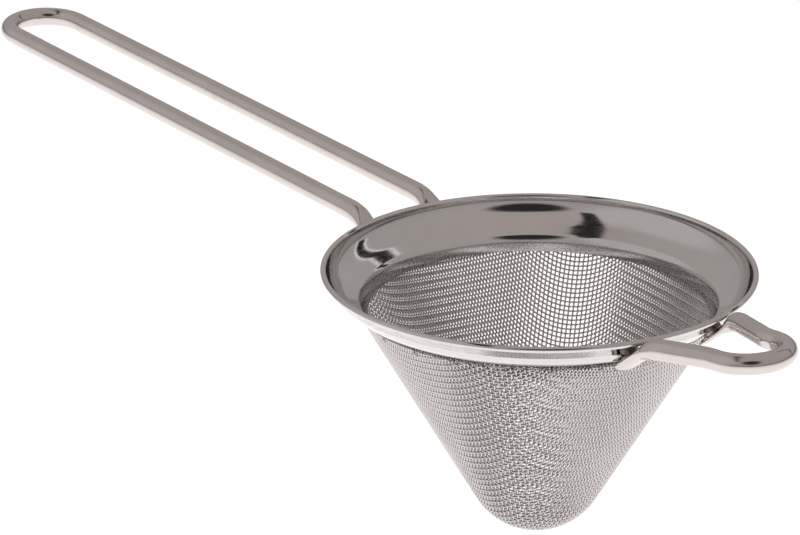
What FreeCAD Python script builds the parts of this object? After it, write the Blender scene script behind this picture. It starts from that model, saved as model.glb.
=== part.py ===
import FreeCAD, Part
import math
import os

# Conical wire-mesh tea strainer, all stainless steel, in millimetres.
# The origin is on the cone's axis in the plane of the rim's top. +Z is up, the handle runs towards -X
# and the rest loop, which hooks on the far side of a cup, runs towards +X.
# The shape is symmetric about the XZ plane.

# Rim: a pressed sheet ring with a rolled edge, a sloping wall, a flatter flange and a conical collar.
RIM_RADIUS = 42.5
BEAD_RADIUS = 0.6
SHEET = 0.5
WALL_TOP_RADIUS = 41.6
WALL_TOP_Z = -0.73
WALL_FOOT_RADIUS = 38.8
WALL_FOOT_Z = -4.5
FOLD_RADIUS = 34.95
FOLD_Z = -6.35
COLLAR_HEIGHT = 3.0
WALL_BEND = 7.0
FOLD_BEND = 0.9

# Mesh cone: one deep-drawn piece of woven cloth, modelled as a shell as thick as two crossed wires.
CONE_HALF_ANGLE = 30.0
MESH_THICKNESS = 0.7
MESH_TIP_RADIUS = 14.2
MESH_TOP_GAP = 0.3

# Both loops are bent from the same round wire, with both ends pressed flat where they are welded.
# Each leg's axis runs straight from its flat end, under the rounded bend of the rim, to a corner
# just outside the rim, and turns there into the plane of its loop. The rises are in degrees.
WIRE_DIAMETER = 4.0
FLAT_HALF_WIDTH = 2.6
FLAT_HALF_THICKNESS = 0.75
FLAT_LENGTH = 3.0
PRESSED_LENGTH = 4.5
END_HALF_WIDTH = 1.7
END_HALF_THICKNESS = 0.55
END_TAPER = 1.6
WIRE_CLEARANCE = 0.04
WIRE_END_RADIUS = 36.9
SECTION_STEP = 0.9

HANDLE_TIP_X = 177.0
HANDLE_HALF_WIDTH = 8.5
HANDLE_RISE = 3.8
HANDLE_CORNER_RADIUS = 45.0
HANDLE_CORNER_Z = 0.1
HANDLE_CORNER_BEND = 10.0

REST_TIP_X = 64.2
REST_HALF_WIDTH_RIM = 10.8
REST_HALF_WIDTH_TIP = 7.4
REST_RISE = 4.0
REST_CORNER_RADIUS = 44.8
REST_CORNER_Z = -0.9
REST_CORNER_BEND = 6.0
REST_TAPER_END_X = 54.5
REST_PLAN_BEND = 9.0

# Welds: one nugget on each flat wire end, and spots that fix the cloth to the collar.
WIRE_NUGGET_RADIUS = 1.9
SPOT_COUNT = 24
SPOT_RADIUS = 0.5
SPOT_PROUD = 0.08
SPOT_DROP = 0.75


def vec(x, y, z):
    return FreeCAD.Vector(x, y, z)


def unit(v):
    w = FreeCAD.Vector(v)
    w.normalize()
    return w


def rounded_path(points, bends):
    """Edges of an open path: straight runs joined by tangent arcs of the given radii."""
    edges = []
    start = points[0]
    for i in range(1, len(points) - 1):
        corner = points[i]
        back = unit(points[i - 1] - corner)
        ahead = unit(points[i + 1] - corner)
        half = back.getAngle(ahead) / 2.0
        reach = bends[i - 1] / math.tan(half)
        arc_start = corner + back * reach
        arc_end = corner + ahead * reach
        inward = unit(back + ahead)
        centre = corner + inward * (bends[i - 1] / math.sin(half))
        middle = centre - inward * bends[i - 1]
        if (arc_start - start).Length > 1e-6:
            edges.append(Part.LineSegment(start, arc_start).toShape())
        edges.append(Part.Arc(arc_start, middle, arc_end).toShape())
        start = arc_end
    edges.append(Part.LineSegment(start, points[-1]).toShape())
    return edges


def mitred(points, distance):
    """The path of points moved sideways by distance in the XZ plane, positive to the left."""
    normals = []
    for a, b in zip(points, points[1:]):
        run = unit(b - a)
        normals.append(vec(-run.z, 0, run.x))
    moved = [points[0] + normals[0] * distance]
    for i in range(1, len(points) - 1):
        mid = unit(normals[i - 1] + normals[i])
        moved.append(points[i] + mid * (distance / mid.dot(normals[i])))
    moved.append(points[-1] + normals[-1] * distance)
    return moved


def revolve(edges):
    face = Part.Face(Part.Wire(edges))
    return face.revolve(vec(0, 0, 0), vec(0, 0, 1), 360)


def turn_sense(points):
    """For each inner point, +1 where the path turns left in the XZ plane and -1 where it turns right."""
    senses = []
    for a, b, c in zip(points, points[1:], points[2:]):
        first = b - a
        second = c - b
        senses.append(1 if first.x * second.z - first.z * second.x > 0 else -1)
    return senses


def sheet_section(points, bends, thickness):
    """Closed XZ section of a bent sheet whose upper face follows the points."""
    lower = mitred(points, thickness)
    lower_bends = [r - s * thickness for r, s in zip(bends, turn_sense(points))]
    top = rounded_path(points, bends)
    under = rounded_path(lower, lower_bends)
    cap_start = Part.LineSegment(lower[0], points[0]).toShape()
    cap_end = Part.LineSegment(points[-1], lower[-1]).toShape()
    return [cap_start] + top + [cap_end] + under


SLOPE = math.radians(CONE_HALF_ANGLE)
COLLAR_FOOT_RADIUS = FOLD_RADIUS - COLLAR_HEIGHT * math.tan(SLOPE)
COLLAR_FOOT_Z = FOLD_Z - COLLAR_HEIGHT
BEAD_CENTRE_RADIUS = RIM_RADIUS - BEAD_RADIUS

# Upper face of the sheet, from the rolled edge inwards and down to the collar's foot.
RIM_LINE = [
    vec(WALL_TOP_RADIUS, 0, WALL_TOP_Z),
    vec(WALL_FOOT_RADIUS, 0, WALL_FOOT_Z),
    vec(FOLD_RADIUS, 0, FOLD_Z),
    vec(COLLAR_FOOT_RADIUS, 0, COLLAR_FOOT_Z),
]


def make_rim():
    sheet = revolve(sheet_section(RIM_LINE, [WALL_BEND, FOLD_BEND], SHEET))
    bead = Part.makeTorus(BEAD_CENTRE_RADIUS, BEAD_RADIUS, vec(0, 0, -BEAD_RADIUS))
    return sheet.fuse(bead).removeSplitter()


# The cloth's inner face lies on the collar's outer face.
CLOTH_FOOT_RADIUS = COLLAR_FOOT_RADIUS + SHEET / math.cos(SLOPE)


def cloth_radius(z, depth):
    """Radius of the cone's straight flank at height z, depth outside the cloth's inner face."""
    return CLOTH_FOOT_RADIUS + depth / math.cos(SLOPE) + (z - COLLAR_FOOT_Z) * math.tan(SLOPE)


def cone_edges(top_z, depth, tip_radius):
    """Flank and rounded tip of the cone's half section, from the top down to the axis."""
    apex_z = COLLAR_FOOT_Z - cloth_radius(COLLAR_FOOT_Z, depth) / math.tan(SLOPE)
    centre_z = apex_z + tip_radius / math.sin(SLOPE)
    top = vec(cloth_radius(top_z, depth), 0, top_z)
    tangent = vec(tip_radius * math.cos(SLOPE), 0, centre_z - tip_radius * math.sin(SLOPE))
    between = math.radians((CONE_HALF_ANGLE + 90.0) / 2.0)
    middle = vec(tip_radius * math.cos(between), 0, centre_z - tip_radius * math.sin(between))
    tip = vec(0, 0, centre_z - tip_radius)
    return [Part.LineSegment(top, tangent).toShape(), Part.Arc(tangent, middle, tip).toShape()], top, tip


def flange_underside_z(radius):
    """Height of the flange's lower face at a radius between the fold and the wall."""
    a, b = RIM_LINE[2], RIM_LINE[1]
    slope = math.atan2(b.z - a.z, b.x - a.x)
    return a.z + (radius - a.x) * math.tan(slope) - SHEET / math.cos(slope)


CLOTH_TOP_Z = flange_underside_z(cloth_radius(FOLD_Z, 0)) - MESH_TOP_GAP


def make_mesh_cone():
    inner, inner_top, inner_tip = cone_edges(CLOTH_TOP_Z, 0.0, MESH_TIP_RADIUS - MESH_THICKNESS)
    outer, outer_top, outer_tip = cone_edges(CLOTH_TOP_Z, MESH_THICKNESS, MESH_TIP_RADIUS)
    caps = [
        Part.LineSegment(inner_top, outer_top).toShape(),
        Part.LineSegment(outer_tip, inner_tip).toShape(),
    ]
    return revolve(inner + caps + outer)


WIRE_RADIUS = WIRE_DIAMETER / 2.0


def smooth_step(value):
    t = min(max(value, 0.0), 1.0)
    return t * t * (3.0 - 2.0 * t)


def chord_x(radius, half_width):
    """X of the point at this distance from the cone's axis on the line y = half_width."""
    return math.sqrt(radius ** 2 - half_width ** 2)


def under_rim_line(corner_radius, corner_z):
    """Where a wire end from this corner touches the rounded bend below the wall, and its far end."""
    foot = mitred(RIM_LINE, SHEET)[1]
    wall = unit(RIM_LINE[0] - RIM_LINE[1])
    flange = unit(RIM_LINE[2] - RIM_LINE[1])
    half = wall.getAngle(flange) / 2.0
    centre = foot + unit(wall + flange) * ((WALL_BEND + SHEET) / math.sin(half))
    reach = WALL_BEND + SHEET + FLAT_HALF_THICKNESS + WIRE_CLEARANCE
    away = vec(corner_radius, 0, corner_z) - centre
    angle = math.atan2(away.z, away.x) - math.acos(reach / away.Length)
    touch = centre + vec(math.cos(angle), 0, math.sin(angle)) * reach
    end_z = touch.z - (touch.x - WIRE_END_RADIUS) / math.tan(-angle)
    return touch, vec(WIRE_END_RADIUS, 0, end_z)


def leg_end(half_width, corner_radius, corner_z):
    """Axis points of one leg: its flat end, the spot that lies on the rim, and the corner outside it."""
    touch, end = under_rim_line(corner_radius, corner_z)
    corner = vec(corner_radius, 0, corner_z)
    return [vec(chord_x(p.x, half_width), half_width, p.z) for p in (end, touch, corner)]


def section(point, tangent, half_width, half_thickness):
    """Elliptical section across the tangent, its flat side turned to the rim."""
    out = unit(vec(point.x, point.y, 0))
    facing = out - vec(0, 0, 1)
    thin = unit(facing - tangent * facing.dot(tangent))
    wide = thin.cross(tangent)
    place = FreeCAD.Matrix(
        wide.x * half_width, thin.x * half_thickness, tangent.x, point.x,
        wide.y * half_width, thin.y * half_thickness, tangent.y, point.y,
        wide.z * half_width, thin.z * half_thickness, tangent.z, point.z,
        0, 0, 0, 1)
    ring = Part.makeCircle(1.0, vec(0, 0, 0), vec(0, 0, 1)).transformGeometry(place)
    return Part.Wire(ring.Edges)


def flat_end(edges, touch):
    """The pressed end of a leg: from its tip along a straight run and through the corner bend."""
    spine = Part.Wire(edges)
    lead = (touch - edges[0].valueAt(edges[0].FirstParameter)).Length
    count = math.ceil(spine.Length / SECTION_STEP)
    sections = []
    for i in range(count + 1):
        along = spine.Length * i / count
        edge = edges[0] if along <= edges[0].Length else edges[1]
        share = (along if edge is edges[0] else along - edges[0].Length) / edge.Length
        parameter = edge.FirstParameter + (edge.LastParameter - edge.FirstParameter) * min(share, 1.0)
        point = edge.valueAt(parameter)
        tangent = unit(edge.tangentAt(parameter))
        round_share = smooth_step((along - lead - FLAT_LENGTH) / PRESSED_LENGTH)
        taper_share = 1.0 - smooth_step(along / END_TAPER)
        width = FLAT_HALF_WIDTH + (WIRE_RADIUS - FLAT_HALF_WIDTH) * round_share
        width += (END_HALF_WIDTH - FLAT_HALF_WIDTH) * taper_share
        thickness = FLAT_HALF_THICKNESS + (WIRE_RADIUS - FLAT_HALF_THICKNESS) * round_share
        thickness += (END_HALF_THICKNESS - FLAT_HALF_THICKNESS) * taper_share
        sections.append(section(point, tangent, width, thickness))
    return Part.makeLoft(sections, True, False)


def rising(corner, x, y, rise):
    """A point at x, y on the loop's plane, which rises outwards from the corner."""
    return vec(x, y, corner.z + (x - corner.x) * math.tan(math.radians(rise)))


def wire_loop(leg, taper_points, bends, tip_x, half_width, rise):
    """A closed-ended loop of round wire on two flattened ends, symmetric about y = 0."""
    end, touch, corner = leg
    bend_x = tip_x - half_width
    straight_end = rising(corner, bend_x, half_width, rise)
    tip = rising(corner, tip_x, 0, rise)
    far = rising(corner, bend_x, -half_width, rise)
    edges = rounded_path([end, corner] + taper_points + [straight_end], bends)
    pressed = flat_end(edges[:2], touch)
    half_bend = Part.Arc(straight_end, tip, far).toShape()
    mirrored = [e.mirror(vec(0, 0, 0), vec(0, 1, 0)) for e in reversed(edges[2:])]
    spine = Part.Wire(Part.__sortEdges__(edges[2:] + [half_bend] + mirrored))
    start = edges[2].valueAt(edges[2].FirstParameter)
    tangent = unit(edges[2].tangentAt(edges[2].FirstParameter))
    ring = section(start, tangent, WIRE_RADIUS, WIRE_RADIUS)
    bar = spine.makePipeShell([ring], True, False)
    half = bar.fuse(pressed).common(Part.makeBox(400, 200, 400, vec(-100, 0, -200)))
    return half.fuse(half.mirror(vec(0, 0, 0), vec(0, 1, 0))).removeSplitter()


def make_handle():
    leg = leg_end(HANDLE_HALF_WIDTH, HANDLE_CORNER_RADIUS, HANDLE_CORNER_Z)
    solid = wire_loop(leg, [], [HANDLE_CORNER_BEND], HANDLE_TIP_X, HANDLE_HALF_WIDTH, HANDLE_RISE)
    return solid.rotate(vec(0, 0, 0), vec(0, 0, 1), 180)


def make_rest_loop():
    leg = leg_end(REST_HALF_WIDTH_RIM, REST_CORNER_RADIUS, REST_CORNER_Z)
    taper = rising(leg[-1], REST_TAPER_END_X, REST_HALF_WIDTH_TIP, REST_RISE)
    bends = [REST_CORNER_BEND, REST_PLAN_BEND]
    return wire_loop(leg, [taper], bends, REST_TIP_X, REST_HALF_WIDTH_TIP, REST_RISE)


def wire_nuggets(leg, direction, rim, wire):
    """Weld metal between the rim's underside and the two flat ends of a loop."""
    end, touch = leg[:2]
    run = unit(end - touch)
    out = unit(vec(touch.x, touch.y, 0))
    facing = vec(0, 0, 1) - out
    up = unit(facing - run * facing.dot(run))
    contact = touch + up * (FLAT_HALF_THICKNESS + WIRE_CLEARANCE / 2.0)
    contact = vec(direction * contact.x, -contact.y, contact.z)
    lump = Part.makeSphere(WIRE_NUGGET_RADIUS, contact).cut(rim).cut(wire)
    nugget = min(lump.Solids, key=lambda s: (s.CenterOfMass - contact).Length)
    return Part.makeCompound([nugget, nugget.mirror(vec(0, 0, 0), vec(0, 1, 0))])


def mesh_spot_welds(cloth):
    """Flat spots of fused wire that fix the cloth's top edge to the collar."""
    z = CLOTH_TOP_Z - SPOT_DROP
    outward = vec(math.cos(SLOPE), 0, -math.sin(SLOPE))
    base = vec(cloth_radius(z, 0.0), 0, z)
    disc = Part.makeCylinder(SPOT_RADIUS, MESH_THICKNESS + SPOT_PROUD, base, outward)
    disc = disc.cut(cloth)
    spots = []
    for i in range(SPOT_COUNT):
        spot = disc.copy()
        spot.rotate(vec(0, 0, 0), vec(0, 0, 1), 360.0 * (i + 0.5) / SPOT_COUNT)
        spots.append(spot)
    return Part.makeCompound(spots)


def main():
    rim = make_rim()
    mesh_cone = make_mesh_cone()
    handle = make_handle()
    rest_loop = make_rest_loop()
    handle_leg = leg_end(HANDLE_HALF_WIDTH, HANDLE_CORNER_RADIUS, HANDLE_CORNER_Z)
    rest_leg = leg_end(REST_HALF_WIDTH_RIM, REST_CORNER_RADIUS, REST_CORNER_Z)
    nodes = {
        "rim": rim,
        "mesh_cone": mesh_cone,
        "handle": handle,
        "rest_loop": rest_loop,
        "handle_welds": wire_nuggets(handle_leg, -1, rim, handle),
        "rest_loop_welds": wire_nuggets(rest_leg, 1, rim, rest_loop),
        "mesh_spot_welds": mesh_spot_welds(mesh_cone),
    }
    os.makedirs("parts", exist_ok=True)
    for name, shape in nodes.items():
        box = shape.BoundBox
        print(name, "valid", shape.isValid(), "solids", len(shape.Solids), "volume", round(shape.Volume, 2),
              "x", round(box.XMin, 1), round(box.XMax, 1), "y", round(box.YMin, 1), round(box.YMax, 1),
              "z", round(box.ZMin, 1), round(box.ZMax, 1))
        shape.exportStep(os.path.join("parts", name + ".step"))


main()
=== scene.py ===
import math

import bpy
import numpy as np
from mathutils import Matrix, Vector


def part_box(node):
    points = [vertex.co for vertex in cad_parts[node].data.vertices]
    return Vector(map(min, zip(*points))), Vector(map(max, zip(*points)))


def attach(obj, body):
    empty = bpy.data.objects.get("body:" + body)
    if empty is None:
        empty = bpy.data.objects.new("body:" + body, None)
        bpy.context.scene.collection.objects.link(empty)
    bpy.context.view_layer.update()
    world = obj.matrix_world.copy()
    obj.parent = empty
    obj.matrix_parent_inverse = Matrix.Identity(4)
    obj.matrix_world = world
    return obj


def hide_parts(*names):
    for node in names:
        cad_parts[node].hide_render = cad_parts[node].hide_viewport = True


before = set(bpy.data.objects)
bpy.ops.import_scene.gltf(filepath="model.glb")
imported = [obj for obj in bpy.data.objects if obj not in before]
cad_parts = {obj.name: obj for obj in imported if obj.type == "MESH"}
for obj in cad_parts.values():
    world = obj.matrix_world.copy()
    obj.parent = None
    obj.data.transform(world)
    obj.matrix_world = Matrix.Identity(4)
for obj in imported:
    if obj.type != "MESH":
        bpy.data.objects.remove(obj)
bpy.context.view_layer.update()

# Driving dimensions of the object, in metres. The origin is on the cone's axis in the plane of the
# rim's top. Profile points are (radius, z).
BEAD_RADIUS = 0.0006
SHEET = 0.0005
WALL_TOP = (0.0416, -0.00073)
WALL_FOOT = (0.0388, -0.0045)
FOLD = (0.03495, -0.00635)
COLLAR_HEIGHT = 0.003
WALL_BEND = 0.007
FOLD_BEND = 0.0009
CONE_HALF_ANGLE = math.radians(30.0)

# Both loops: round wire, pressed flat at its ends where they lie under the rim.
WIRE_RADIUS = 0.002
WIRE_CLEARANCE = 0.00004
WIRE_END_RADIUS = 0.0369
FLAT_HALF_WIDTH = 0.0026
FLAT_HALF_THICKNESS = 0.00075
FLAT_LENGTH = 0.003
PRESSED_LENGTH = 0.0045
END_HALF_WIDTH = 0.0017
END_HALF_THICKNESS = 0.00055
END_TAPER = 0.0016

HANDLE_HALF_WIDTH = 0.0085
HANDLE_RISE = math.radians(3.8)
HANDLE_CORNER = (0.0450, 0.0001)
HANDLE_CORNER_BEND = 0.010

REST_HALF_WIDTH_RIM = 0.0108
REST_HALF_WIDTH_TIP = 0.0074
REST_RISE = math.radians(4.0)
REST_CORNER = (0.0448, -0.0009)
REST_CORNER_BEND = 0.006
REST_TAPER_END_X = 0.0545
REST_PLAN_BEND = 0.009

# The woven cloth: plain weave, one wire over and one under, both ways.
PITCH = 0.00093
MESH_WIRE = 0.00036
CLOTH_TURN = math.radians(35.5)
WIRE_SIDES = 6
CRIMP_POINTS = (0.2, 0.8)
FRAY = 0.00012
SEED = 7
SHORTEST_END, LONGEST_END = 0.05, 1.2  # how far a wire may pass its last crossing, in pitches
NET_MARGIN = 1.15  # the net's size over the cone's slanted height, which covers the tip's curve
SOLVER_STEPS = 8

# The rolled edge's outline, and where the sheet's two faces leave it, in its radii.
CURL_START = math.radians(-80)
CURL_END = math.radians(204)
CURL_STEPS = 44
UPPER_FACE_START = 1.15
LOWER_FACE_START = 1.1

# Rounding of a wire's cut end: distance past the end, and share of the section's size.
CUT_END = ((0.00012, 0.85), (0.00018, 0.6))
PRESSED_REACH = 0.02  # points nearer a leg's tip than this are set finely

RIM_STEPS = 360
TUBE_SIDES = 40
STEP_ANGLE = math.radians(3.0)
STEP_LENGTH = 0.0005

rng = np.random.default_rng(SEED)


# ---------------------------------------------------------------- geometry helpers

def add_piece(mesh, material, node):
    """A smooth-shaded piece of the one body, standing for a CAD node. It has the mesh's name."""
    mesh.validate()
    mesh.polygons.foreach_set("use_smooth", [True] * len(mesh.polygons))
    mesh.materials.append(material)
    piece = bpy.data.objects.new(mesh.name, mesh)
    bpy.context.scene.collection.objects.link(piece)
    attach(piece, "root")
    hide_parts(node)


def mesh_from(name, vertices, faces):
    mesh = bpy.data.meshes.new(name)
    mesh.from_pydata([tuple(v) for v in vertices], [], faces)
    return mesh


def rounded_path(points, bends):
    """Points along straight runs joined by tangent arcs of the given radii."""
    points = [Vector(p) for p in points]
    path = [points[0]]
    for before, corner, after, bend in zip(points, points[1:], points[2:], bends):
        back = (before - corner).normalized()
        ahead = (after - corner).normalized()
        half = back.angle(ahead) / 2
        reach = bend / math.tan(half)
        centre = corner + (back + ahead).normalized() * (bend / math.sin(half))
        first = corner + back * reach - centre
        last = corner + ahead * reach - centre
        turn = math.pi - 2 * half
        steps = max(2, math.ceil(turn / STEP_ANGLE))
        for i in range(steps + 1):
            share = i / steps
            spoke = first * math.sin((1 - share) * turn) + last * math.sin(share * turn)
            path.append(centre + spoke / math.sin(turn))
    path.append(points[-1])
    return path


def mitred(points, distance):
    """A profile of (radius, z) points moved sideways, to the left of its direction."""
    flat = [Vector((p[0], p[1])) for p in points]
    normals = []
    for a, b in zip(flat, flat[1:]):
        run = (b - a).normalized()
        normals.append(Vector((-run.y, run.x)))
    moved = [flat[0] + normals[0] * distance]
    for before, here, after in zip(normals, flat[1:], normals[1:]):
        mid = (before + after).normalized()
        moved.append(here + mid * (distance / mid.dot(after)))
    moved.append(flat[-1] + normals[-1] * distance)
    return moved


def frames_along(path):
    """A tangent and two side directions for each point of a path, without twist."""
    tangents = []
    for i in range(len(path)):
        ahead = path[min(i + 1, len(path) - 1)] - path[i]
        back = path[i] - path[max(i - 1, 0)]
        tangents.append((ahead.normalized() + back.normalized()).normalized())
    side = tangents[0].orthogonal().normalized()
    frames = []
    for t in tangents:
        side = (side - t * side.dot(t)).normalized()
        frames.append((t, side, t.cross(side)))
    return frames


def tube_faces(ring_count, sides):
    faces = []
    for i in range(ring_count - 1):
        for k in range(sides):
            n = (k + 1) % sides
            faces.append((i * sides + k, i * sides + n, (i + 1) * sides + n, (i + 1) * sides + k))
    last = (ring_count - 1) * sides
    faces.append(tuple(range(sides - 1, -1, -1)))
    faces.append(tuple(range(last, last + sides)))
    return faces


# ---------------------------------------------------------------- materials

def node_tree(name):
    material = bpy.data.materials.new(name)
    material.use_nodes = True
    return material, material.node_tree, material.node_tree.nodes["Principled BSDF"]


def stretched_noise(tree, vector, scale, stretch, detail=4.0):
    """Noise whose grain is drawn out by the stretch vector."""
    mapping = tree.nodes.new("ShaderNodeMapping")
    mapping.inputs["Scale"].default_value = stretch
    noise = tree.nodes.new("ShaderNodeTexNoise")
    noise.inputs["Scale"].default_value = scale
    noise.inputs["Detail"].default_value = detail
    tree.links.new(vector, mapping.inputs["Vector"])
    tree.links.new(mapping.outputs["Vector"], noise.inputs["Vector"])
    return noise.outputs["Fac"]


def remap(tree, value, low, high):
    """A 0 to 1 pattern mapped to low to high."""
    node = tree.nodes.new("ShaderNodeMapRange")
    node.inputs["From Min"].default_value = 0.3
    node.inputs["From Max"].default_value = 0.7
    node.inputs["To Min"].default_value = low
    node.inputs["To Max"].default_value = high
    tree.links.new(value, node.inputs["Value"])
    return node.outputs["Result"]


def two_tone(tree, value, first, second):
    node = tree.nodes.new("ShaderNodeMix")
    node.data_type = "RGBA"
    node.inputs["A"].default_value = (*first, 1)
    node.inputs["B"].default_value = (*second, 1)
    tree.links.new(value, node.inputs["Factor"])
    return node.outputs["Result"]


def bump(tree, shader, height, strength, distance):
    node = tree.nodes.new("ShaderNodeBump")
    node.inputs["Strength"].default_value = strength
    node.inputs["Distance"].default_value = distance
    tree.links.new(height, node.inputs["Height"])
    tree.links.new(node.outputs["Normal"], shader.inputs["Normal"])


def object_vector(tree):
    return tree.nodes.new("ShaderNodeTexCoord").outputs["Object"]


def turning_vector(tree):
    """Radius, angle and height about the Z axis, for marks that run round the rim."""
    split = tree.nodes.new("ShaderNodeSeparateXYZ")
    tree.links.new(object_vector(tree), split.inputs[0])
    angle = tree.nodes.new("ShaderNodeMath")
    angle.operation = "ARCTAN2"
    tree.links.new(split.outputs["Y"], angle.inputs[0])
    tree.links.new(split.outputs["X"], angle.inputs[1])
    radius = tree.nodes.new("ShaderNodeVectorMath")
    radius.operation = "LENGTH"
    flat = tree.nodes.new("ShaderNodeCombineXYZ")
    tree.links.new(split.outputs["X"], flat.inputs["X"])
    tree.links.new(split.outputs["Y"], flat.inputs["Y"])
    tree.links.new(flat.outputs[0], radius.inputs[0])
    joined = tree.nodes.new("ShaderNodeCombineXYZ")
    tree.links.new(radius.outputs["Value"], joined.inputs["X"])
    tree.links.new(angle.outputs[0], joined.inputs["Y"])
    tree.links.new(split.outputs["Z"], joined.inputs["Z"])
    return joined.outputs[0]


def steel(name, tone, vector_of, grain, stretch, roughness, bump_height):
    """Stainless steel: cloudy colour, a drawn or turned grain in its roughness, and fine scratches."""
    material, tree, shader = node_tree(name)
    shader.inputs["Metallic"].default_value = 1.0
    vector = vector_of(tree)
    cloud = stretched_noise(tree, object_vector(tree), 90.0, (1, 1, 1), 3.0)
    light = tuple(min(1.0, c * 1.04) for c in tone)
    dark = tuple(c * 0.95 for c in tone)
    tree.links.new(two_tone(tree, remap(tree, cloud, 0, 1), dark, light), shader.inputs["Base Color"])
    scratches = stretched_noise(tree, vector, grain, stretch, 6.0)
    tree.links.new(remap(tree, scratches, *roughness), shader.inputs["Roughness"])
    bump(tree, shader, scratches, 0.35, bump_height)
    return material


# Each steel: tone, grain direction, grain per metre, stretch of the grain, roughness range, scratch depth.
SHEET_TONE = (0.68, 0.655, 0.64)
WIRE_TONE = (0.66, 0.61, 0.59)
CLOTH_TONE = (0.62, 0.585, 0.58)
WELD_TONE = (0.42, 0.38, 0.35)

rim_steel = steel("rim_steel", SHEET_TONE, turning_vector, 900.0, (6, 0.02, 6), (0.05, 0.13), 0.000004)
wire_steel = steel("wire_steel", WIRE_TONE, object_vector, 700.0, (0.06, 1, 1), (0.12, 0.24), 0.000006)
cloth_steel = steel("cloth_steel", CLOTH_TONE, object_vector, 1500.0, (1, 1, 1), (0.16, 0.30), 0.000004)
weld_steel = steel("weld_steel", WELD_TONE, object_vector, 2500.0, (1, 1, 1), (0.30, 0.50), 0.00002)


# ---------------------------------------------------------------- rim

def arc_profile(centre, radius, start, end, steps):
    """(radius, z) points of an arc."""
    return [(centre[0] + radius * math.cos(start + (end - start) * i / steps),
             centre[1] + radius * math.sin(start + (end - start) * i / steps)) for i in range(steps + 1)]


def flat_path(points, bends):
    """rounded_path for a profile of (radius, z) points."""
    return [(p.x, p.z) for p in rounded_path([(r, 0, z) for r, z in points], bends)]


RIM_LINE = [WALL_TOP, WALL_FOOT, FOLD,
            (FOLD[0] - COLLAR_HEIGHT * math.tan(CONE_HALF_ANGLE), FOLD[1] - COLLAR_HEIGHT)]


def outside(profile, centre, radius):
    """The points of a profile that are further from the centre than the radius."""
    return [p for p in profile if math.dist(p, centre) > radius]


def make_rim():
    """The closed section, turned about Z: the sheet's upper face, the rolled edge, the sheet's lower face."""
    upper = flat_path(RIM_LINE, [WALL_BEND, FOLD_BEND])
    lower = flat_path([tuple(p) for p in mitred(RIM_LINE, SHEET)], [WALL_BEND + SHEET, FOLD_BEND - SHEET])
    bead = (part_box("rim")[1].x - BEAD_RADIUS, -BEAD_RADIUS)
    curl = arc_profile(bead, BEAD_RADIUS, CURL_START, CURL_END, CURL_STEPS)
    profile = outside(upper, bead, BEAD_RADIUS * UPPER_FACE_START)[::-1] + curl[::-1]
    profile += [lower[0]] + outside(lower, bead, BEAD_RADIUS * LOWER_FACE_START)
    vertices = []
    for i in range(RIM_STEPS):
        angle = 2 * math.pi * i / RIM_STEPS
        for r, z in profile:
            vertices.append((r * math.cos(angle), r * math.sin(angle), z))
    count = len(profile)
    faces = []
    for i in range(RIM_STEPS):
        n = (i + 1) % RIM_STEPS
        for k in range(count):
            m = (k + 1) % count
            faces.append((i * count + k, i * count + m, n * count + m, n * count + k))
    add_piece(mesh_from("rim_ring", vertices, faces), rim_steel, "rim")


# ---------------------------------------------------------------- wire loops

def smooth_step(value):
    t = min(max(value, 0.0), 1.0)
    return t * t * (3 - 2 * t)


def leg_end(half_width, corner):
    """Axis points of one leg: its flat end, the spot on the rim's rounded bend, and the corner outside it."""
    foot = mitred(RIM_LINE, SHEET)[1]
    wall = (Vector(WALL_TOP) - Vector(WALL_FOOT)).normalized()
    flange = (Vector(FOLD) - Vector(WALL_FOOT)).normalized()
    centre = foot + (wall + flange).normalized() * ((WALL_BEND + SHEET) / math.sin(wall.angle(flange) / 2))
    reach = WALL_BEND + SHEET + FLAT_HALF_THICKNESS + WIRE_CLEARANCE
    away = Vector(corner) - centre
    angle = math.atan2(away.y, away.x) - math.acos(reach / away.length)
    touch = centre + Vector((math.cos(angle), math.sin(angle))) * reach
    end_z = touch.y - (touch.x - WIRE_END_RADIUS) / math.tan(-angle)
    points = []
    for radius, z in ((WIRE_END_RADIUS, end_z), touch, corner):
        points.append(Vector((math.sqrt(radius ** 2 - half_width ** 2), half_width, z)))
    return points


def resampled(path, step):
    """The same path with extra points, no further apart than the step."""
    dense = [path[0]]
    for a, b in zip(path, path[1:]):
        parts = max(1, math.ceil((b - a).length / step))
        dense += [a.lerp(b, i / parts) for i in range(1, parts + 1)]
    return dense


def half_size(flat, end, rounding, taper):
    """Half the section's width or thickness, between flat, round and the tip's own size."""
    return flat + (WIRE_RADIUS - flat) * rounding + (end - flat) * taper


def leg_rings(path, lead):
    """Rings of one leg from its tip: pressed flat against the rim, then round."""
    along = [0.0]
    for a, b in zip(path, path[1:]):
        along.append(along[-1] + (b - a).length)
    rings = []
    thin = None
    for i, point in enumerate(path):
        ahead, behind = path[min(i + 1, len(path) - 1)], path[max(i - 1, 0)]
        tangent = (ahead - behind).normalized()
        if thin is None:
            thin = Vector((point.x, point.y, 0)).normalized() - Vector((0, 0, 1))
        thin = (thin - tangent * thin.dot(tangent)).normalized()
        wide = thin.cross(tangent)
        rounding = smooth_step((along[i] - lead - FLAT_LENGTH) / PRESSED_LENGTH)
        taper = 1 - smooth_step(along[i] / END_TAPER)
        width = half_size(FLAT_HALF_WIDTH, END_HALF_WIDTH, rounding, taper)
        thickness = half_size(FLAT_HALF_THICKNESS, END_HALF_THICKNESS, rounding, taper)
        rings.append((point, wide * width, thin * thickness))
    return rings


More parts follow.
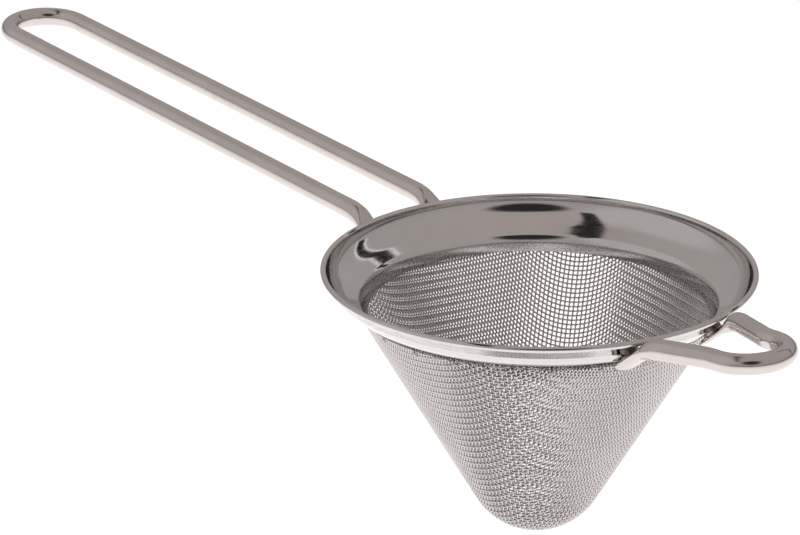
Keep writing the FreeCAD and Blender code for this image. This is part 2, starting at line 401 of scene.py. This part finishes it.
def make_loop(name, node, points, bends, lead, direction):
    """A loop of wire from half of its axis: the leg's tip, its corners, and the middle of its round end."""
    tip_x, bend_x = points[-1].x, points[-2].x
    path = rounded_path(points[:-1], bends)
    half_width = points[-2].y
    rise = (points[-1].z - points[-2].z) / (tip_x - bend_x)
    steps = math.ceil(math.pi / 2 / STEP_ANGLE)
    for i in range(1, steps + 1):
        angle = math.pi / 2 * i / steps
        x = bend_x + half_width * math.sin(angle)
        path.append(Vector((x, half_width * math.cos(angle), points[-2].z + (x - bend_x) * rise)))
    near = [p for p in path if (p - path[0]).length < PRESSED_REACH]
    beyond = [p for p in path if (p - path[0]).length >= PRESSED_REACH]
    rings = leg_rings(resampled(near, STEP_LENGTH) + beyond, lead)
    point, wide, thin = rings[0]
    backwards = (path[0] - path[1]).normalized()
    for out, scale in CUT_END:
        rings.insert(0, (point + backwards * out, wide * scale, thin * scale))
    flip = Matrix.Diagonal((1, -1, 1))
    rings += [(flip @ p, flip @ w, flip @ t) for p, w, t in reversed(rings[:-1])]
    turn = Matrix.Diagonal((direction, direction, 1))
    vertices = []
    for point, wide, thin in rings:
        for k in range(TUBE_SIDES):
            angle = 2 * math.pi * k / TUBE_SIDES
            vertices.append(turn @ (point + wide * math.cos(angle) + thin * math.sin(angle)))
    faces = tube_faces(len(rings), TUBE_SIDES)
    add_piece(mesh_from(name, vertices, faces), wire_steel, node)


def on_plane(corner, x, y, rise):
    """A point at x, y on the plane of the loop, which rises outwards from the corner."""
    return Vector((x, y, corner.z + (x - corner.x) * math.tan(rise)))


def make_handle():
    end, touch, corner = leg_end(HANDLE_HALF_WIDTH, HANDLE_CORNER)
    tip_x = -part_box("handle")[0].x - WIRE_RADIUS * math.cos(HANDLE_RISE)
    bend_x = tip_x - HANDLE_HALF_WIDTH
    points = [end, corner, on_plane(corner, bend_x, HANDLE_HALF_WIDTH, HANDLE_RISE),
              on_plane(corner, tip_x, 0, HANDLE_RISE)]
    make_loop("handle_loop", "handle", points, [HANDLE_CORNER_BEND], (touch - end).length, -1)


def make_rest_loop():
    end, touch, corner = leg_end(REST_HALF_WIDTH_RIM, REST_CORNER)
    tip_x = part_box("rest_loop")[1].x - WIRE_RADIUS * math.cos(REST_RISE)
    points = [end, corner, on_plane(corner, REST_TAPER_END_X, REST_HALF_WIDTH_TIP, REST_RISE),
              on_plane(corner, tip_x - REST_HALF_WIDTH_TIP, REST_HALF_WIDTH_TIP, REST_RISE),
              on_plane(corner, tip_x, 0, REST_RISE)]
    bends = [REST_CORNER_BEND, REST_PLAN_BEND]
    make_loop("rest_loop_wire", "rest_loop", points, bends, (touch - end).length, 1)


# ---------------------------------------------------------------- woven cone

def cone_facts():
    """Tip radius and centre height of the cloth's middle surface, and its top edge."""
    low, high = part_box("mesh_cone")
    apex = high.z - high.x / math.tan(CONE_HALF_ANGLE)
    outer_tip = (low.z - apex) / (1 / math.sin(CONE_HALF_ANGLE) - 1)
    centre_z = apex + outer_tip / math.sin(CONE_HALF_ANGLE)
    return outer_tip - MESH_WIRE, centre_z, high.z


def surface(points, tip_radius, centre_z):
    """Signed distance from the rounded cone, and the outward normal, for each point."""
    rho = np.hypot(points[:, 0], points[:, 1])
    height = points[:, 2] - centre_z
    cos_a, sin_a = math.cos(CONE_HALF_ANGLE), math.sin(CONE_HALF_ANGLE)
    flank = rho * cos_a - height * sin_a - tip_radius
    reach = np.hypot(rho, height)
    on_cap = height * cos_a < -rho * sin_a
    distance = np.where(on_cap, reach - tip_radius, flank)
    safe_rho = np.maximum(rho, 1e-12)
    safe_reach = np.maximum(reach, 1e-12)
    radial = np.where(on_cap, rho / safe_reach, cos_a)
    vertical = np.where(on_cap, height / safe_reach, -sin_a)
    normal = np.stack([radial * points[:, 0] / safe_rho, radial * points[:, 1] / safe_rho, vertical], -1)
    return distance, normal


def meridian(arc, tip_radius, centre_z):
    """Radius and height at a distance along the profile from the tip."""
    cap = tip_radius * (math.pi / 2 - CONE_HALF_ANGLE)
    turn = np.minimum(arc, cap) / tip_radius
    beyond = np.maximum(arc - cap, 0)
    radius = tip_radius * np.sin(turn) + beyond * math.sin(CONE_HALF_ANGLE)
    height = centre_z - tip_radius * np.cos(turn) + beyond * math.cos(CONE_HALF_ANGLE)
    return radius, height


def cloth_net(tip_radius, centre_z, top_z):
    """Crossings of a quarter of the cloth. Every side of every opening stays one pitch long."""
    apex_to_top = (top_z - centre_z + tip_radius) / math.cos(CONE_HALF_ANGLE)
    count = math.ceil(apex_to_top * NET_MARGIN / PITCH) + 3
    net = np.zeros((count, count, 3))
    radius, height = meridian(np.arange(count) * PITCH, tip_radius, centre_z)
    net[:, 0] = np.stack([radius, np.zeros(count), height], -1)
    net[0, :] = np.stack([np.zeros(count), radius, height], -1)
    for diagonal in range(2, 2 * count - 1):
        i = np.arange(max(1, diagonal - count + 1), min(diagonal, count))
        j = diagonal - i
        a, b, c = net[i - 1, j], net[i, j - 1], net[i - 1, j - 1]
        q = a + b - c
        for _ in range(SOLVER_STEPS):
            distance, normal = surface(q, tip_radius, centre_z)
            to_a, to_b = q - a, q - b
            misses = [(to_a ** 2).sum(-1) - PITCH ** 2, (to_b ** 2).sum(-1) - PITCH ** 2, distance]
            wrong = np.stack(misses, -1)
            slopes = np.stack([2 * to_a, 2 * to_b, normal], 1)
            q = q - np.linalg.solve(slopes, wrong[..., None])[..., 0]
        net[i, j] = q
    return net


def cloth_wires(net, top_z, across):
    """Each wire's crossings inside the top edge, with +1 where it passes outside the other wire, else -1."""
    count = len(net)
    wires = []
    for i in range(-count + 2, count - 1):
        j = np.arange(-count + 2, count - 1)
        points = net[abs(i), abs(j)].copy() if not across else net[abs(j), abs(i)].copy()
        along, fixed = (1, 0) if not across else (0, 1)
        points[:, fixed] *= -1 if i < 0 else 1
        points[:, along] *= np.where(j < 0, -1, 1)
        inside = np.nonzero(points[:, 2] < top_z)[0]
        if len(inside) < 3:
            continue
        first, last = inside[0], inside[-1]
        points, j = points[first:last + 1], j[first:last + 1]
        wires.append((points, (-1.0) ** (i + j) * (1 if not across else -1)))
    return wires


def crimped(points, over, tip_radius, centre_z, top_z):
    """Points and normals of one wire that passes over and under its neighbours, trimmed near the top edge."""
    line, lift = [], []
    for f in CRIMP_POINTS:
        line.append(points[:-1] * (1 - f) + points[1:] * f)
        lift.append(over[:-1] * math.cos(math.pi * f))
    body = np.stack(line, 1).reshape(-1, 3)
    height = np.stack(lift, 1).reshape(-1)
    ends = []
    for end, inner in ((points[0], points[1]), (points[-1], points[-2])):
        run = end - inner
        room = (top_z - rng.uniform(0, FRAY) - end[2]) / max(run[2], 1e-9)
        ends.append(end + run * min(max(room, SHORTEST_END), LONGEST_END))
    body = np.concatenate([ends[:1], body, ends[1:]])
    height = np.concatenate([over[:1], height, over[-1:]])
    _, normal = surface(body, tip_radius, centre_z)
    return body + normal * (height * MESH_WIRE / 2)[:, None], normal


def tube_arrays(lines):
    """Vertices, side faces and end faces of the wires given as (points, normals)."""
    angles = np.arange(WIRE_SIDES) * 2 * math.pi / WIRE_SIDES
    vertices, quads, caps, base = [], [], [], 0
    for points, normal in lines:
        tangent = np.gradient(points, axis=0)
        tangent /= np.linalg.norm(tangent, axis=1)[:, None]
        side = np.cross(tangent, normal)
        side /= np.linalg.norm(side, axis=1)[:, None]
        up = np.cross(side, tangent)
        ring = side[:, None] * np.cos(angles)[None, :, None] + up[:, None] * np.sin(angles)[None, :, None]
        vertices.append((points[:, None] + ring * MESH_WIRE / 2).reshape(-1, 3))
        k = np.arange(WIRE_SIDES)
        i = np.arange(len(points) - 1)[:, None] * WIRE_SIDES + base
        n = (k + 1) % WIRE_SIDES
        quads.append(np.stack([i + k, i + n, i + n + WIRE_SIDES, i + k + WIRE_SIDES], -1).reshape(-1, 4))
        caps.append(base + k[::-1])
        caps.append(base + (len(points) - 1) * WIRE_SIDES + k)
        base += len(points) * WIRE_SIDES
    return np.concatenate(vertices), np.concatenate(quads), np.array(caps)


def add_cloth(name, lines):
    vertices, quads, caps = tube_arrays(lines)
    mesh = bpy.data.meshes.new(name)
    mesh.vertices.add(len(vertices))
    mesh.vertices.foreach_set("co", vertices.astype(np.float32).ravel())
    loops = np.concatenate([quads.ravel(), caps.ravel()])
    sizes = np.concatenate([np.full(len(quads), 4), np.full(len(caps), WIRE_SIDES)])
    starts = np.concatenate([[0], np.cumsum(sizes)[:-1]])
    mesh.loops.add(len(loops))
    mesh.loops.foreach_set("vertex_index", loops.astype(np.int32))
    mesh.polygons.add(len(sizes))
    mesh.polygons.foreach_set("loop_start", starts.astype(np.int32))
    mesh.update(calc_edges=True)
    add_piece(mesh, cloth_steel, "mesh_cone")


def make_cloth():
    """Four meshes, which keeps each one small enough to export whole."""
    tip_radius, centre_z, top_z = cone_facts()
    net = cloth_net(tip_radius, centre_z, top_z)
    turn = np.array(Matrix.Rotation(CLOTH_TURN, 3, "Z"))
    for across, label in ((False, "warp"), (True, "weft")):
        lines = []
        for points, over in cloth_wires(net, top_z, across):
            line, normal = crimped(points, over, tip_radius, centre_z, top_z)
            lines.append((line @ turn.T, normal @ turn.T))
        half = len(lines) // 2
        add_cloth(f"mesh_{label}_a", lines[:half])
        add_cloth(f"mesh_{label}_b", lines[half:])


# ---------------------------------------------------------------- stage, light and camera

FLOOR_GAP = 0.2  # between the cone's tip and the floor
FLOOR_HALF = 6.0
FILL_HEIGHT = 1.6
FILL_SIZE = 2.4
FILL_POWER = 48.0


def make_fill():
    """A soft light from above that steel doesn't reflect, so it only lights the floor."""
    data = bpy.data.lights.new("top_fill", "AREA")
    data.shape = "RECTANGLE"
    data.size = data.size_y = FILL_SIZE
    data.energy = FILL_POWER
    light = bpy.data.objects.new("top_fill", data)
    bpy.context.scene.collection.objects.link(light)
    light.location = (0, 0, FILL_HEIGHT)
    light.visible_camera = False
    light.visible_glossy = False


def make_floor(z):
    corners = [(x * FLOOR_HALF, y * FLOOR_HALF, z) for x, y in ((-1, -1), (1, -1), (1, 1), (-1, 1))]
    mesh = mesh_from("floor", corners, [(0, 1, 2, 3)])
    material, tree, shader = node_tree("floor_paper")
    grain = stretched_noise(tree, object_vector(tree), 40.0, (1, 1, 1), 3.0)
    tone = two_tone(tree, grain, (0.93, 0.93, 0.93), (0.95, 0.95, 0.95))
    tree.links.new(tone, shader.inputs["Base Color"])
    shader.inputs["Roughness"].default_value = 0.9
    shader.inputs["Specular IOR Level"].default_value = 0.1
    mesh.materials.append(material)
    floor = bpy.data.objects.new("floor", mesh)
    bpy.context.scene.collection.objects.link(floor)


CAMERA_AZIMUTH = math.radians(50.5)
CAMERA_ELEVATION = math.radians(20.8)
CAMERA_DISTANCE = 0.6787
CAMERA_ASIDE = 0.02697
CAMERA_BELOW = 0.00037
CAMERA_AIM_Z = -0.00075
LENS = 157.5
SENSOR_WIDTH = 36.0


def facing(azimuth, elevation):
    """Unit vector at an azimuth from the picture's right, turning away from the camera, and an elevation."""
    right = Vector((math.cos(CAMERA_AZIMUTH), math.sin(CAMERA_AZIMUTH), 0))
    away = Vector((-right.y, right.x, 0))
    a, e = math.radians(azimuth), math.radians(elevation)
    return (right * math.cos(a) + away * math.sin(a)) * math.cos(e) + Vector((0, 0, math.sin(e)))


def fade(tree, value, none, full):
    """0 where the value is at none, rising smoothly to 1 where it is at full."""
    node = tree.nodes.new("ShaderNodeMapRange")
    node.interpolation_type = "SMOOTHSTEP"
    node.inputs["From Min"].default_value = none
    node.inputs["From Max"].default_value = full
    tree.links.new(value, node.inputs["Value"])
    return node.outputs["Result"]


def along_axis(tree, direction, axis):
    dot = tree.nodes.new("ShaderNodeVectorMath")
    dot.operation = "DOT_PRODUCT"
    dot.inputs[1].default_value = axis
    tree.links.new(direction, dot.inputs[0])
    return dot.outputs["Value"]


def nearness(tree, direction, axis, inner, outer):
    """1 within the inner angle of the axis, fading to 0 at the outer one, in degrees."""
    cosine = along_axis(tree, direction, axis)
    return fade(tree, cosine, math.cos(math.radians(outer)), math.cos(math.radians(inner)))


def strip(tree, direction, start, end, half_width, soft):
    """1 on a narrow strip along the great circle between two directions, fading to 0 at its sides and ends.

    The half width and the soft edge are sines of angles.
    """
    size = tree.nodes.new("ShaderNodeMath")
    size.operation = "ABSOLUTE"
    tree.links.new(along_axis(tree, direction, start.cross(end).normalized()), size.inputs[0])
    reach = math.degrees(start.angle(end)) / 2
    both = tree.nodes.new("ShaderNodeMath")
    both.operation = "MULTIPLY"
    tree.links.new(fade(tree, size.outputs[0], half_width + soft, half_width), both.inputs[0])
    ends = nearness(tree, direction, (start + end).normalized(), reach, reach + STRIP_END)
    tree.links.new(ends, both.inputs[1])
    return both.outputs[0]


# The studio's brightness from straight down to straight up: position in the ramp, level.
HORIZON_LEVELS = ((0.47, 0.85), (0.485, 0.08), (0.515, 0.08), (0.55, 0.42), (0.75, 0.44))
FLOOR_COLOUR = (0.95, 0.93, 0.93, 1)
CEILING_COLOUR = (0.46, 0.415, 0.40, 1)
STRIP_END = 3  # degrees over which a strip's ends fade


def make_world():
    """A grey studio with a white floor, a dark camera side and dark gaps between its light tents."""
    world = bpy.data.worlds.new("studio")
    bpy.context.scene.world = world
    world.use_nodes = True
    tree = world.node_tree
    direction = tree.nodes.new("ShaderNodeTexCoord").outputs["Generated"]
    split = tree.nodes.new("ShaderNodeSeparateXYZ")
    tree.links.new(direction, split.inputs[0])
    ramp = tree.nodes.new("ShaderNodeValToRGB")
    rise = tree.nodes.new("ShaderNodeMapRange")
    rise.inputs["From Min"].default_value = -1
    tree.links.new(split.outputs["Z"], rise.inputs["Value"])
    tree.links.new(rise.outputs["Result"], ramp.inputs["Fac"])
    stops = ramp.color_ramp.elements
    stops[0].color = FLOOR_COLOUR
    stops[1].color = CEILING_COLOUR
    for position, level in HORIZON_LEVELS:
        stop = stops.new(position)
        stop.color = (level, level * 0.945, level * 0.93, 1)
    colour = ramp.outputs["Color"]
    # Each mark is a mask and the grey that it paints, later ones over earlier ones. The stand is a dark
    # strip between two bright edges, which the rim's left side reflects.
    left_card = nearness(tree, direction, facing(-170, 30), 25, 50)
    camera_gap = nearness(tree, direction, facing(-85, 36), 14, 24)
    roof_gap = strip(tree, direction, facing(-125, 48), facing(107, 66), 0.05, 0.015)
    stand_ends = facing(24, 12), facing(66, 42)
    stand_light = strip(tree, direction, *stand_ends, 0.085, 0.01)
    stand_gap = strip(tree, direction, *stand_ends, 0.055, 0.01)
    marks = ((left_card, 0.55), (camera_gap, 0.03), (roof_gap, 0.02), (stand_light, 1.0), (stand_gap, 0.01))
    for mask, tone in marks:
        mix = tree.nodes.new("ShaderNodeMix")
        mix.data_type = "RGBA"
        mix.inputs["B"].default_value = (tone, tone * 0.96, tone * 0.96, 1)
        tree.links.new(mask, mix.inputs["Factor"])
        tree.links.new(colour, mix.inputs["A"])
        colour = mix.outputs["Result"]
    tree.links.new(colour, tree.nodes["Background"].inputs["Color"])


def make_camera():
    data = bpy.data.cameras.new("camera")
    data.lens = LENS
    data.sensor_width = SENSOR_WIDTH
    data.clip_start = 0.05
    data.clip_end = 50.0
    camera = bpy.data.objects.new("camera", data)
    bpy.context.scene.collection.objects.link(camera)
    back = Vector((math.sin(CAMERA_AZIMUTH) * math.cos(CAMERA_ELEVATION),
                   -math.cos(CAMERA_AZIMUTH) * math.cos(CAMERA_ELEVATION), math.sin(CAMERA_ELEVATION)))
    turn = (-back).to_track_quat("-Z", "Y")
    right, up = turn @ Vector((1, 0, 0)), turn @ Vector((0, 1, 0))
    middle = Vector((0, 0, CAMERA_AIM_Z))
    camera.location = middle + back * CAMERA_DISTANCE - right * CAMERA_ASIDE + up * CAMERA_BELOW
    camera.rotation_mode = "QUATERNION"
    camera.rotation_quaternion = turn
    bpy.context.scene.camera = camera


make_camera()
make_rim()
make_handle()
make_rest_loop()
make_cloth()
# The welds keep their CAD shape.
for name in ("handle_welds", "rest_loop_welds", "mesh_spot_welds"):
    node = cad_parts[name]
    node.data.materials.clear()
    node.data.materials.append(weld_steel)
make_floor(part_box("mesh_cone")[0].z - FLOOR_GAP)
make_world()
make_fill()
bpy.context.scene.view_settings.view_transform = "Standard"
